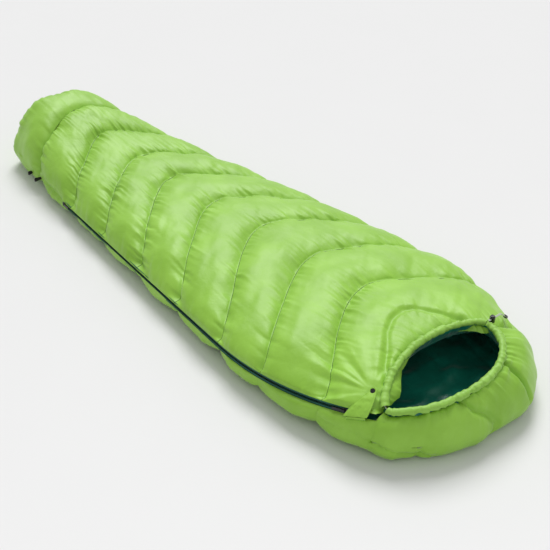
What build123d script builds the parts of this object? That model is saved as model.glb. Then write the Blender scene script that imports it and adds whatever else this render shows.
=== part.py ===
"""Mummy sleeping bag, zipped up and lying flat on its back.

The bag is a hollow padded form: an outer shell, an insulation layer and a lining, each split into the
top quilt, the bottom quilt, the footbox and the hood. A two-way zip runs up the left side in a slot
between the two quilts and ends below the left corner of the face opening, next to a snap tab. A
drawcord runs round the face opening in a fabric channel and comes out at a spring cord lock.

Frame: millimetres, +X from the feet to the head, +Y to the sleeper's right, +Z up. The origin is the
middle of the bag's footprint on the ground.
"""

import os
from math import asin, cos, degrees, pi, radians, sin, tan

from build123d import *

os.makedirs("parts", exist_ok=True)

# ---- Driving dimensions ----

BAG_HALF_LENGTH = 1079.5
SHELL_THICKNESS = 1.6
INSULATION_THICKNESS = 22.0
LAYER_GAP = 1.2

# One row for each cross-section: place along X, half width on the left (zip) side, half width on the
# right side, height of the crown, height of the widest line, height of the keel. The keel dips below
# the ground along the back, where the form is cut off flat.
STATIONS = [
    (-1079.5, 160, 172, 196, 80, 16),
    (-1062, 184, 194, 220, 77, -2),
    (-1025, 196, 205, 230, 74, -10),
    (-955, 212, 219, 222, 70, -10),
    (-795, 236, 252, 190, 62, -10),
    (-595, 266, 304, 162, 56, -10),
    (-295, 304, 342, 164, 56, -10),
    (5, 343, 376, 172, 58, -10),
    (305, 382, 404, 178, 60, -10),
    (555, 405.5, 405.5, 186, 62, -10),
    (705, 398, 372, 191, 64, -10),
    (845, 369, 300, 195, 66, -10),
    (945, 338, 262, 186, 66, -10),
    (1015, 262, 205, 156, 64, -6),
    (1050, 190, 150, 122, 60, 8),
    (1071, 130, 105, 98, 57, 26),
    (1079.5, 104, 86, 84, 56, 34),
]
RING_POINTS = 20
SIDE_ROUNDNESS = 0.85
CROWN_ROUNDNESS = 0.95
KEEL_ROUNDNESS = 0.55
SMALLEST_HALF = 4.0
FLAT_FROM = 0.97  # where the keel doesn't reach the ground, it is cut flat this far down from the belly

FOOTBOX_SEAM_X = -945.0
HOOD_SEAM_X = 905.0
REACH = 1300.0
SEAM_GAP = 0.3

# The zip's centreline: a straight run from the foot end, then one arc to the face opening's corner.
# Both lie in one plane, tilted about the straight run.
ZIP_FOOT_END = Vector(-620, -265, 52)
ZIP_TURN = Vector(365.5, -388.5, 70)
ZIP_ARC_RADIUS = 1065.0
ZIP_ARC_ANGLE = 31.0
ZIP_PLANE_TILT = 19.0
ZIP_ROLL = 27.0  # turns the tape in its own plane, so that it faces outwards and slightly up
ZIP_SLOT_HALF = 11.0
ZIP_SLOT_DEPTH = 85.0
ZIP_SLOT_OUTSIDE = 40.0

COIL_INNER = 0.8
COIL_OUTER = 3.6
COIL_HALF_THICKNESS = 1.3
TAPE_EDGE = 9.6
TAPE_HALF_THICKNESS = 0.45
STOP_LENGTH = 4.0
STOP_HALF_THICKNESS = 1.6
FOOT_STOP_AT = 4.0
HEAD_STOP_FROM_END = 100.0
TAPE_FROM_END = 62.0

SLIDER_LENGTH = 17.0
SLIDER_HALF_WIDTH = 6.2
SLIDER_PLATE = 1.8
SLIDER_CHANNEL_HALF = 1.8
SLIDER_SLIT_HALF = 0.9
SLIDER_FLANGE = 1.5
SLIDER_WEB_HALF = 0.4
SLIDER_REST_GAP = 1.0
PIN_HEIGHT = 6.2
PIN_RADIUS = 0.9
POST_INNER = 2.7
POST_OUTER = 3.9
EYE_RADIUS = 2.1
EYE_BORE = 1.3
EYE_HALF = 2.2
PULL_THICKNESS = 1.6
OUTER_PULL_LENGTH = 36.0
INNER_PULL_LENGTH = 24.0
PULL_HALF_WIDTH = 3.8
SLIDERS_APART = 60.0  # each slider stops this far short of the turn between straight run and arc

# The face opening's rim, seen from above: left corner, chest side, right corner, hood side.
RIM_LEFT = (912, -296)
RIM_CHEST = [(856, -225), (824, -110), (824, 10), (846, 100)]
RIM_RIGHT = (876, 137)
RIM_HOOD = [(948, 108), (996, 40), (1012, -60), (1000, -168), (966, -250)]
RIM_CLEARANCE = 9.0
RIM_LIFT = 3.0
CHANNEL_RADIUS = 8.0
CHANNEL_BORE = 6.6
CHANNEL_SLIT = 12.0
CHANNEL_SLIT_AT = 276.0
RIM_COUNT = 48
DRAWCORD_RADIUS = 1.4

BAFFLE_FROM_X = 776.0
BAFFLE_TO_X = 804.0
BAFFLE_THICKNESS = 18.0
DRAUGHT_TUBE_FROM_END = 176.0
DRAUGHT_TUBE_DEPTH = 48.0
DRAUGHT_TUBE_HALF_THICKNESS = 6.0
DRAUGHT_TUBE_HALF_WIDTH = 12.0

# The snap tab, its hinge along the lower edge of the zip and its stud on the chest.
TAB_HINGE_FOOT = (838, -361)
TAB_HINGE_HEAD = (888, -338)
TAB_STUD = (858, -284)
TAB_LIFT = 13.0
TAB_THICKNESS = 2.0
TAB_HINGE_RADIUS = 1.6
TAB_TIP_RADIUS = 11.0
STUD_CAP_RADIUS = 6.5
STUD_SOCKET_RADIUS = 5.0

CORD_LOCK_CENTRE = (872, 160)
CORD_LOCK_RADIUS = 8.0
BARREL_FOOT = -10.8
BARREL_HEAD = 6.0
PLUNGER_FOOT = -3.5
PLUNGER_HEAD = 9.8
CORD_LOCK_BORE = 6.2
CORD_LOCK_FLOOR = 1.4
CORD_LOCK_TRAVEL = 24.0
STRAND_HALF_SPACING = 1.75
CORD_PASSAGE_HALF = 3.7
CORD_PASSAGE_RISE = 1.9
PLUNGER_RADIUS = 5.7
PLUNGER_TRAVEL = 3.0
SPRING_RADIUS = 4.4
SPRING_WIRE_RADIUS = 0.3
SPRING_TURNS = 4
CORD_LOCK_LIFT = 13.8
CORD_STRAIGHT = 52.0
CORD_TAIL = 26.0
CORD_TURN = 40.0
CORD_BEHIND_LOCK = 15.0
BEAD_RADIUS = 5.0
BEAD_LENGTH = 13.0

LOOP_PLACES = (-884.0, -826.0)
LOOP_RADIUS = 7.0
LOOP_THICKNESS = 1.4
LOOP_WIDTH = 8.0
LOOP_REACH = 12.0
LOOP_STANDOFF = 2.4
LOOP_HEIGHT = 46.0


# ---- The bag's padded form ----


def hand_over(part, label):
    """Name a piece and write it out."""
    part.label = label
    export_step(part, f"parts/{label}.step")
    solids = len(part.solids())
    print(label, round(part.volume / 1000, 3), "cm3", "solids", solids, part.is_valid, flush=True)


def station_at(x):
    """The cross-section's dimensions at x, between the two nearest rows."""
    for low, high in zip(STATIONS, STATIONS[1:]):
        if low[0] <= x <= high[0]:
            part = (x - low[0]) / (high[0] - low[0])
            return [a + (b - a) * part for a, b in zip(low, high)]
    return list(STATIONS[-1] if x > 0 else STATIONS[0])


def top_height(x, y):
    """Height of the outside of the top above the ground at (x, y)."""
    _, left, right, crown, belly, _ = station_at(x)
    across = min(abs(y) / (right if y > 0 else left), 1.0)
    rise = (1 - across ** (2 / SIDE_ROUNDNESS)) ** (CROWN_ROUNDNESS / 2)
    return belly + (crown - belly) * rise


def side_angle(z, crown, belly, keel):
    """Angle round the side of a cross-section at which its outline reaches height z."""
    if z >= belly:
        return asin(min((z - belly) / (crown - belly), 1.0) ** (1 / CROWN_ROUNDNESS))
    return -asin(min((belly - z) / (belly - keel), 1.0) ** (1 / KEEL_ROUNDNESS))


def outline_point(angle, left, right, crown, belly, keel):
    """Point (y, z) on a cross-section's outline, measured from the right side over the crown."""
    across = abs(cos(angle)) ** SIDE_ROUNDNESS
    if sin(angle) >= 0:
        z = belly + (crown - belly) * sin(angle) ** CROWN_ROUNDNESS
    else:
        z = belly - (belly - keel) * (-sin(angle)) ** KEEL_ROUNDNESS
    return (right * across if cos(angle) > 0 else -left * across, z)


def inset_row(x, inset):
    """A cross-section's dimensions at x, taken in by inset."""
    _, left, right, crown, belly, keel = station_at(x)
    return (
        max(left - inset, SMALLEST_HALF),
        max(right - inset, SMALLEST_HALF),
        max(crown - inset, belly + SMALLEST_HALF),
        belly,
        min(keel + inset, belly - SMALLEST_HALF),
    )


def arc_points(row, start, end, count):
    """Points along a cross-section's outline between two angles."""
    return [outline_point(start + (end - start) * i / count, *row) for i in range(count + 1)]


def upper_outline(x, inset, seam):
    """Outline over the top, from the left seam to the right one, as (y, z) points."""
    row = inset_row(x, inset)
    left_z, right_z = seam
    return arc_points(row, pi - side_angle(left_z, *row[2:]), side_angle(right_z, *row[2:]), 10)


def lower_outline(x, inset, seam):
    """Outlines of the left side down to the ground and of the right side up from it."""
    row = inset_row(x, inset)
    left_z, right_z = seam
    belly, keel = row[3:]
    ground = side_angle(max(inset, belly - FLAT_FROM * (belly - keel)), *row[2:])
    left = arc_points(row, pi - side_angle(left_z, *row[2:]), pi - ground, 4)
    right = arc_points(row, ground, side_angle(right_z, *row[2:]), 4)
    return left, right


SHELL_INSET = SHELL_THICKNESS
INSULATION_START = SHELL_INSET + LAYER_GAP
INSULATION_END = INSULATION_START + INSULATION_THICKNESS
LINING_START = INSULATION_END + LAYER_GAP
LINING_END = LINING_START + SHELL_THICKNESS
BAFFLE_START = LINING_END + LAYER_GAP
LAYERS = {
    "shell": (0.0, SHELL_INSET),
    "insulation": (INSULATION_START, INSULATION_END),
    "lining": (LINING_START, LINING_END),
}



# ---- Where the zip runs ----

ZIP_ALONG = (ZIP_TURN - ZIP_FOOT_END).normalized()
ZIP_STRAIGHT = (ZIP_TURN - ZIP_FOOT_END).length
LEVEL_INWARD = Vector(0, 0, 1).cross(ZIP_ALONG).normalized()
LEVEL_UP = ZIP_ALONG.cross(LEVEL_INWARD)
ZIP_INWARD = LEVEL_INWARD * cos(radians(ZIP_PLANE_TILT)) + LEVEL_UP * sin(radians(ZIP_PLANE_TILT))
ZIP_AXIS = ZIP_ALONG.cross(ZIP_INWARD)
ZIP_CENTRE = ZIP_TURN + ZIP_INWARD * ZIP_ARC_RADIUS
ZIP_ARC_LENGTH = radians(ZIP_ARC_ANGLE) * ZIP_ARC_RADIUS
ZIP_LENGTH = ZIP_STRAIGHT + ZIP_ARC_LENGTH


def zip_frame(distance):
    """Point, direction along, direction out and direction up the tape, at a distance from the foot."""
    turn = max(distance - ZIP_STRAIGHT, 0) / ZIP_ARC_RADIUS
    radial = ZIP_ALONG * sin(turn) - ZIP_INWARD * cos(turn)
    along = ZIP_ALONG * cos(turn) + ZIP_INWARD * sin(turn)
    point = ZIP_CENTRE + radial * ZIP_ARC_RADIUS
    if distance < ZIP_STRAIGHT:
        point = ZIP_FOOT_END + ZIP_ALONG * distance
    roll = radians(ZIP_ROLL)
    out = radial * cos(roll) + ZIP_AXIS * sin(roll)
    up = ZIP_AXIS * cos(roll) - radial * sin(roll)
    return point, along, out, up


def across_zip(distance):
    """Plane square to the zip: x up the tape, y outwards, z towards the head."""
    point, along, _, up = zip_frame(distance)
    return Plane(origin=point, x_dir=up, z_dir=along)


def zip_strip(start, end, low, high, inner, outer):
    """A strip of rectangular section that follows the zip from start to end."""
    middle = ((low + high) / 2, (inner + outer) / 2)
    with BuildPart() as strip:
        if start < ZIP_STRAIGHT:
            with BuildSketch(across_zip(start)):
                with Locations(middle):
                    Rectangle(high - low, outer - inner)
            extrude(amount=min(end, ZIP_STRAIGHT) - start)
        if end > ZIP_STRAIGHT:
            begin = max(start, ZIP_STRAIGHT)
            with BuildSketch(across_zip(begin)):
                with Locations(middle):
                    Rectangle(high - low, outer - inner)
            revolve(
                axis=Axis(ZIP_CENTRE, ZIP_AXIS),
                revolution_arc=degrees((end - begin) / ZIP_ARC_RADIUS),
            )
    return strip.part


# ---- Seam between the top and bottom quilts ----

seam_knots = [(-REACH, ZIP_FOOT_END.Z)]
for step in range(13):
    if step < 4:
        knot = zip_frame(ZIP_STRAIGHT * step / 4)[0]
    else:
        knot = zip_frame(ZIP_STRAIGHT + ZIP_ARC_LENGTH * (step - 4) / 8)[0]
    seam_knots.append((knot.X, knot.Z))
seam_knots.append((REACH, seam_knots[-1][1] - 30))


def seam_height(x):
    """Height of the side seam at x, held inside the outline where the bag is low."""
    for (x0, z0), (x1, z1) in zip(seam_knots, seam_knots[1:]):
        if x0 <= x <= x1:
            z = z0 + (z1 - z0) * (x - x0) / (x1 - x0)
            _, _, _, crown, belly, _ = station_at(x)
            return min(z, belly + (crown - belly) * 0.6)
    return seam_knots[-1][1]


def seam_gap(x):
    """Half the gap between the quilts on the left, which is the zip's slot where there is a zip."""
    closing = (ZIP_FOOT_END.X - x) / 30.0
    return max(ZIP_SLOT_HALF * (1 - max(closing, 0)), SEAM_GAP / 2)


def belly_seam(x):
    return (station_at(x)[4], station_at(x)[4])


def upper_seam(x):
    return (seam_height(x) + seam_gap(x), seam_height(x) + SEAM_GAP / 2)


def lower_seam(x):
    return (seam_height(x) - seam_gap(x), seam_height(x) - SEAM_GAP / 2)


def places_between(start, end):
    """The places of the cross-sections from start to end."""
    inside = [row[0] for row in STATIONS if start + 3 < row[0] < end - 3]
    knots = (ZIP_FOOT_END.X - 30, ZIP_FOOT_END.X, ZIP_TURN.X, 775.0)
    extra = [x for x in knots if start + 3 < x < end - 3]
    return sorted([start, *inside, *extra, end])


def section_plane(x):
    return Plane(origin=(x, 0, 0), x_dir=(0, 1, 0), z_dir=(1, 0, 0))


def upper_band(start, end, insets, seam=upper_seam):
    """The part of a layer over the top, between two places along X."""
    with BuildPart() as band:
        for x in places_between(start, end):
            outer = upper_outline(x, insets[0], seam(x))
            inner = upper_outline(x, insets[1], seam(x))
            with BuildSketch(section_plane(x)):
                with BuildLine():
                    Spline(*outer)
                    Line(outer[-1], inner[-1])
                    Spline(*reversed(inner))
                    Line(inner[0], outer[0])
                make_face()
        loft(ruled=True)
    return band.part


def lower_band(start, end, insets, seam=lower_seam):
    """The part of a layer round the underside, between two places along X."""
    with BuildPart() as band:
        for x in places_between(start, end):
            outer_left, outer_right = lower_outline(x, insets[0], seam(x))
            inner_left, inner_right = lower_outline(x, insets[1], seam(x))
            with BuildSketch(section_plane(x)):
                with BuildLine():
                    Spline(*outer_left)
                    Line(outer_left[-1], outer_right[0])
                    Spline(*outer_right)
                    Line(outer_right[-1], inner_right[-1])
                    Spline(*reversed(inner_right))
                    Line(inner_right[0], inner_left[-1])
                    Spline(*reversed(inner_left))
                    Line(inner_left[0], outer_left[0])
                make_face()
        loft(ruled=True)
    return band.part


def end_cap(start, end, inset):
    """A plug that closes one end of a layer."""
    with BuildPart() as cap:
        for x in places_between(start, end):
            over = upper_outline(x, inset, belly_seam(x))
            left, right = lower_outline(x, inset, belly_seam(x))
            with BuildSketch(section_plane(x)):
                with BuildLine():
                    Spline(*over)
                    Spline(*reversed(right))
                    Line(right[0], left[-1])
                    Spline(*reversed(left))
                make_face()
        loft(ruled=True)
    return cap.part


# ---- The face opening's rim ----

rim_plan = [RIM_RIGHT, *RIM_HOOD, RIM_LEFT, *RIM_CHEST]
rim_loop = Edge.make_spline(
    [Vector(x, y, top_height(x, y) + RIM_LIFT) for x, y in rim_plan], periodic=True
)
rim_samples = [rim_loop.position_at(i / RIM_COUNT) for i in range(RIM_COUNT)]


def rim_plane(index):
    """Plane square to the rim at one of its samples: x away from the face, y up, z along."""
    point = rim_samples[index % RIM_COUNT]
    along = (rim_samples[(index + 1) % RIM_COUNT] - rim_samples[(index - 1) % RIM_COUNT]).normalized()
    return Plane(origin=point, x_dir=Vector(0, 0, 1).cross(along), z_dir=along)


opening_corners = []
for index in range(RIM_COUNT):
    corner = rim_samples[index] + rim_plane(index).x_dir * RIM_CLEARANCE
    opening_corners.append((corner.X, corner.Y))
with BuildPart() as face_opening:
    with BuildSketch(Plane.XY.offset(92)):
        Polygon(*opening_corners, align=None)
    extrude(amount=200)

# ---- Shell, insulation and lining of the top quilt, bottom quilt, footbox and hood ----

BODY_START = FOOTBOX_SEAM_X + SEAM_GAP
HOOD_START = HOOD_SEAM_X + SEAM_GAP



for layer, insets in LAYERS.items():
    near_end, far_end = insets[1] - BAG_HALF_LENGTH, BAG_HALF_LENGTH - insets[1]
    with BuildPart() as top:
        add(upper_band(BODY_START, HOOD_SEAM_X, insets))
        add(face_opening.part, mode=Mode.SUBTRACT)
    with BuildPart() as bottom:
        add(lower_band(BODY_START, HOOD_SEAM_X, insets))
    with BuildPart() as footbox:
        add(upper_band(near_end, FOOTBOX_SEAM_X, insets, belly_seam))
        add(lower_band(near_end, FOOTBOX_SEAM_X, insets, belly_seam))
        add(end_cap(insets[0] - BAG_HALF_LENGTH, near_end, insets[0]))
    with BuildPart() as hood:
        add(upper_band(HOOD_START, far_end, insets, belly_seam))
        add(lower_band(HOOD_START, far_end, insets, belly_seam))
        add(end_cap(far_end, BAG_HALF_LENGTH - insets[0], insets[0]))
        add(face_opening.part, mode=Mode.SUBTRACT)
    for region, piece in {"top": top, "bottom": bottom, "footbox": footbox, "hood": hood}.items():
        hand_over(piece.part, f"{region}_{layer}")

# ---- Neck baffle and draught tube, padded rolls on the lining ----

with BuildPart() as neck_baffle:
    baffle_insets = (BAFFLE_START, BAFFLE_START + BAFFLE_THICKNESS)
    add(upper_band(BAFFLE_FROM_X, BAFFLE_TO_X, baffle_insets))
    add(lower_band(BAFFLE_FROM_X, BAFFLE_TO_X, baffle_insets))
hand_over(neck_baffle.part, "neck_baffle")

draught_tube = zip_strip(
    20.0,
    ZIP_LENGTH - DRAUGHT_TUBE_FROM_END,
    -DRAUGHT_TUBE_HALF_WIDTH,
    DRAUGHT_TUBE_HALF_WIDTH,
    -DRAUGHT_TUBE_DEPTH - DRAUGHT_TUBE_HALF_THICKNESS,
    -DRAUGHT_TUBE_DEPTH + DRAUGHT_TUBE_HALF_THICKNESS,
)
with BuildPart() as draught:
    add(draught_tube)
    fillet(draught.edges().filter_by(lambda edge: edge.length > 300), radius=5.0)
hand_over(draught.part, "draught_tube")

# ---- Zip tapes, coils and stops ----

HEAD_STOP_AT = ZIP_LENGTH - HEAD_STOP_FROM_END
coil_start = FOOT_STOP_AT + STOP_LENGTH + 0.3
tape_sides = (
    ("top", COIL_OUTER + 0.05, TAPE_EDGE),
    ("bottom", -TAPE_EDGE, -COIL_OUTER - 0.05),
)
for side, low, high in tape_sides:
    tape_end = ZIP_LENGTH - TAPE_FROM_END
    tape = zip_strip(2.0, tape_end, low, high, -TAPE_HALF_THICKNESS, TAPE_HALF_THICKNESS)
    hand_over(tape, f"zip_tape_{side}")
for side, low, high in (("top", COIL_INNER, COIL_OUTER), ("bottom", -COIL_OUTER, -COIL_INNER)):
    coil = zip_strip(coil_start, HEAD_STOP_AT - 0.3, low, high, -COIL_HALF_THICKNESS, COIL_HALF_THICKNESS)
    hand_over(coil, f"zip_coil_{side}")
foot_stop = zip_strip(
    FOOT_STOP_AT,
    FOOT_STOP_AT + STOP_LENGTH,
    -COIL_OUTER,
    COIL_OUTER,
    -STOP_HALF_THICKNESS,
    STOP_HALF_THICKNESS,
)
hand_over(foot_stop, "zip_stop_foot")
with BuildPart() as head_stops:
    for low, high in ((COIL_INNER, COIL_OUTER), (-COIL_OUTER, -COIL_INNER)):
        add(
            zip_strip(
                HEAD_STOP_AT,
                HEAD_STOP_AT + STOP_LENGTH,
                low,
                high,
                -STOP_HALF_THICKNESS,
                STOP_HALF_THICKNESS,
            )
        )
hand_over(head_stops.part, "zip_stops_head")

# ---- Sliders and pulls ----

SLIDER_HEIGHT = SLIDER_CHANNEL_HALF + SLIDER_PLATE


def slider_plane(distance, heading=1, face=1):
    """Plane on the tape at a distance from the foot: x along the zip, z out of one face."""
    point, along, out, _ = zip_frame(distance)
    return Plane(origin=point, x_dir=along * heading, z_dir=out * face)


def slider_body(plane, faces):
    """A slider with a pull lug on each face that is named in faces."""
    with BuildPart(plane) as body:
        for sign in (1, -1):
            with Locations((0, 0, sign * (SLIDER_CHANNEL_HALF + SLIDER_PLATE / 2))):
                Box(SLIDER_LENGTH, 2 * SLIDER_HALF_WIDTH, SLIDER_PLATE)
            flange_height = SLIDER_CHANNEL_HALF - SLIDER_SLIT_HALF
            flange_at = SLIDER_HALF_WIDTH - SLIDER_FLANGE / 2
            height = sign * (SLIDER_SLIT_HALF + flange_height / 2)
            with Locations((0, flange_at, height), (0, -flange_at, height)):
                Box(SLIDER_LENGTH, SLIDER_FLANGE, flange_height)
        with Locations((3.5, 0, 0)):
            Box(SLIDER_LENGTH / 2, 2 * SLIDER_WEB_HALF, 2 * SLIDER_CHANNEL_HALF)
        for sign in faces:
            post_top = PIN_HEIGHT + 1.4
            post_height = post_top - SLIDER_HEIGHT
            post_at = (POST_INNER + POST_OUTER) / 2
            height = sign * (SLIDER_HEIGHT + post_height / 2)
            with Locations((-1, post_at, height), (-1, -post_at, height)):
                Box(3.6, POST_OUTER - POST_INNER, post_height)
            with Locations((-1, 0, sign * PIN_HEIGHT)):
                Cylinder(PIN_RADIUS, 2 * POST_INNER + 0.2, rotation=(90, 0, 0))
    return body.part


def pull(plane, length):
    """A pull on the lug's pin, lying back along -x of the plane."""
    with BuildPart(plane) as body:
        with Locations((-1, 0, PIN_HEIGHT)):
            Cylinder(EYE_RADIUS, 2 * EYE_HALF, rotation=(90, 0, 0))
        with Locations((-1 - 5.5, 0, PIN_HEIGHT)):
            Box(9, 2 * EYE_HALF, PULL_THICKNESS)
        with Locations((-1 - (8 + length) / 2, 0, PIN_HEIGHT)):
            Box(length - 8, 2 * PULL_HALF_WIDTH, PULL_THICKNESS)
        with Locations((-1, 0, PIN_HEIGHT)):
            Cylinder(EYE_BORE, 4 * EYE_HALF, rotation=(90, 0, 0), mode=Mode.SUBTRACT)
    return body.part


head_at = HEAD_STOP_AT - SLIDER_REST_GAP - SLIDER_LENGTH / 2
foot_at = FOOT_STOP_AT + STOP_LENGTH + SLIDER_REST_GAP + SLIDER_LENGTH / 2
hand_over(slider_body(slider_plane(head_at), (1, -1)), "zip_slider_head")
hand_over(pull(slider_plane(head_at), OUTER_PULL_LENGTH), "zip_pull_head_outer")
hand_over(pull(slider_plane(head_at, face=-1), INNER_PULL_LENGTH), "zip_pull_head_inner")
hand_over(slider_body(slider_plane(foot_at, heading=-1), (1,)), "zip_slider_foot")
hand_over(pull(slider_plane(foot_at, heading=-1), OUTER_PULL_LENGTH), "zip_pull_foot_outer")

# ---- Channel round the face opening, with the drawcord in it ----


def rim_channel(first, last):
    """A fabric tube, open along the seam underneath, along the rim from one sample to another."""
    with BuildPart() as tube:
        for index in range(first, last + 1):
            with BuildSketch(rim_plane(index)):
                with BuildLine():
                    outer = CenterArc((0, 0), CHANNEL_RADIUS, CHANNEL_SLIT_AT, 360 - CHANNEL_SLIT)
                    inner = CenterArc((0, 0), CHANNEL_BORE, CHANNEL_SLIT_AT, 360 - CHANNEL_SLIT)
                    Line(outer @ 0, inner @ 0)
                    Line(outer @ 1, inner @ 1)
                make_face()
        loft(ruled=True)
    return tube.part


def rim_cord(first, last):
    """The drawcord, whole, along the rim from one sample to another."""
    with BuildPart() as cord:
        for index in range(first, last + 1):
            with BuildSketch(rim_plane(index)):
                Circle(DRAWCORD_RADIUS)
        loft(ruled=True)
    return cord.part


corner = Vector(*RIM_LEFT, top_height(*RIM_LEFT) + RIM_LIFT)
left_corner = min(range(RIM_COUNT), key=lambda i: (rim_samples[i] - corner).length)
hand_over(rim_channel(1, left_corner), "hood_rim_channel")
hand_over(rim_channel(left_corner, RIM_COUNT - 1), "chest_hem_channel")
hand_over(rim_cord(1, RIM_COUNT - 1), "hood_drawcord")

# ---- Snap tab over the end of the zip ----


def on_top(place, lift=0.0):
    return Vector(*place, top_height(*place) + lift)


tab_side = on_top(TAB_HINGE_HEAD) - on_top(TAB_HINGE_FOOT)
tab_length = tab_side.length
tab_normal = tab_side.cross(on_top(TAB_STUD) - on_top(TAB_HINGE_FOOT)).normalized()
tab_plane = Plane(origin=on_top(TAB_HINGE_FOOT) + tab_normal * TAB_LIFT, x_dir=tab_side, z_dir=tab_normal)
stud = tab_plane.to_local_coords(on_top(TAB_STUD))
half = TAB_THICKNESS / 2

with BuildPart(tab_plane) as snap_tab:
    with BuildSketch(tab_plane.offset(-half)):
        with BuildLine():
            Polyline(
                (0, 1),
                (tab_length, 1),
                (stud.X + TAB_TIP_RADIUS, stud.Y),
                (stud.X - TAB_TIP_RADIUS, stud.Y),
                close=True,
            )
        make_face()
        with Locations((stud.X, stud.Y)):
            Circle(TAB_TIP_RADIUS)
            Circle(2.4, mode=Mode.SUBTRACT)
    extrude(amount=TAB_THICKNESS)
    with Locations((tab_length / 2, 0, 0)):
        Cylinder(TAB_HINGE_RADIUS, tab_length, rotation=(0, 90, 0))
hand_over(snap_tab.part, "snap_tab")

with BuildPart(tab_plane) as tab_anchor:
    with Locations((tab_length / 2, -1.6, -TAB_LIFT / 2 - 0.5)):
        Box(tab_length - 8, 2.0, TAB_LIFT - 4.0)
hand_over(tab_anchor.part, "tab_anchor")

with BuildPart(tab_plane) as stud_cap:
    with Locations((stud.X, stud.Y, 2.3)):
        Cylinder(STUD_CAP_RADIUS, 1.8)
    with Locations((stud.X, stud.Y, 0)):
        Cylinder(2.0, 3.0)
    with Locations((stud.X, stud.Y, -4.9)):
        Cylinder(4.2, 7.2)
hand_over(stud_cap.part, "snap_stud")

with BuildPart(tab_plane) as stud_socket:
    with Locations((stud.X, stud.Y, -TAB_LIFT + 2.7)):
        Cylinder(STUD_SOCKET_RADIUS, 2.4)
hand_over(stud_socket.part, "snap_socket")

# ---- Cord lock, spring and the drawcord's free end ----

lock_centre = on_top(CORD_LOCK_CENTRE, CORD_LOCK_LIFT)
lock_plane = Plane(origin=lock_centre, x_dir=(0, 1, 0), z_dir=(0, 0, 1))
barrel_length = BARREL_HEAD - BARREL_FOOT

with BuildPart(lock_plane) as barrel:
    with Locations((0, 0, (BARREL_HEAD + BARREL_FOOT) / 2)):
        Cylinder(CORD_LOCK_RADIUS, barrel_length)
    fillet(barrel.edges().filter_by(GeomType.CIRCLE), radius=1.2)
    with Locations((0, 0, BARREL_HEAD)):
        Cylinder(
            CORD_LOCK_BORE,
            barrel_length - CORD_LOCK_FLOOR,
            align=(Align.CENTER, Align.CENTER, Align.MAX),
            mode=Mode.SUBTRACT,
        )
    Box(4 * CORD_LOCK_RADIUS, 2 * CORD_PASSAGE_HALF, 2 * CORD_PASSAGE_RISE, mode=Mode.SUBTRACT)
hand_over(barrel.part, "cord_lock_barrel")

with BuildPart(lock_plane) as plunger:
    with Locations((0, 0, PLUNGER_FOOT)):
        Cylinder(
            PLUNGER_RADIUS,
            PLUNGER_HEAD - PLUNGER_FOOT,
            align=(Align.CENTER, Align.CENTER, Align.MIN),
        )
    fillet(plunger.edges().filter_by(GeomType.CIRCLE), radius=1.0)
    with Locations((0, 0, PLUNGER_TRAVEL / 2)):
        Box(
            4 * CORD_LOCK_RADIUS,
            2 * CORD_PASSAGE_HALF,
            2 * CORD_PASSAGE_RISE + PLUNGER_TRAVEL,
            mode=Mode.SUBTRACT,
        )
hand_over(plunger.part, "cord_lock_plunger")

spring_foot = BARREL_FOOT + CORD_LOCK_FLOOR + SPRING_WIRE_RADIUS + 0.1
spring_height = PLUNGER_FOOT - spring_foot - SPRING_WIRE_RADIUS - 0.1
with BuildPart() as spring:
    with BuildLine() as coil_line:
        Helix(
            spring_height / SPRING_TURNS,
            spring_height,
            SPRING_RADIUS,
            center=lock_centre + Vector(0, 0, spring_foot),
        )
    with BuildSketch(Plane(origin=coil_line.line @ 0, z_dir=coil_line.line % 0)):
        Circle(SPRING_WIRE_RADIUS)
    sweep(path=coil_line.line, is_frenet=True)
hand_over(spring.part, "cord_lock_spring")

bend = radians(CORD_TURN)
cord_along = Vector(0, 1, 0)
tail_along = Vector(0, cos(bend), -sin(bend))
bend_radius = 0.45 * CORD_TAIL / tan(bend / 2)
for name, aside in (("head", STRAND_HALF_SPACING), ("foot", -STRAND_HALF_SPACING)):
    start = lock_centre + Vector(aside, -CORD_BEHIND_LOCK, 0)
    turn_at = start + cord_along * CORD_STRAIGHT
    finish = turn_at + tail_along * CORD_TAIL
    with BuildPart() as strand:
        with BuildLine() as strand_path:
            FilletPolyline(start, turn_at, finish, radius=bend_radius)
        with BuildSketch(Plane(origin=start, z_dir=cord_along)):
            Circle(DRAWCORD_RADIUS)
        sweep(path=strand_path.line)
    expected = pi * DRAWCORD_RADIUS**2 * strand_path.wire().length
    volumes = round(strand.part.volume, 2), round(expected, 2)
    print(name, "strand radius", round(bend_radius, 2), "volumes", *volumes)
    print("  points", [tuple(round(v / 1000, 5) for v in p) for p in (start, turn_at, finish)])
    hand_over(strand.part, f"cord_strand_{name}")

bead_plane = Plane(
    origin=lock_centre + cord_along * (CORD_STRAIGHT - CORD_BEHIND_LOCK) + tail_along * (CORD_TAIL + 0.3),
    z_dir=tail_along,
)
with BuildPart(bead_plane) as bead:
    Cylinder(BEAD_RADIUS, BEAD_LENGTH, align=(Align.CENTER, Align.CENTER, Align.MIN))
    fillet(bead.edges().filter_by(GeomType.CIRCLE), radius=2.0)
hand_over(bead.part, "cord_end_bead")

# ---- Hanging loops on the footbox ----

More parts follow.
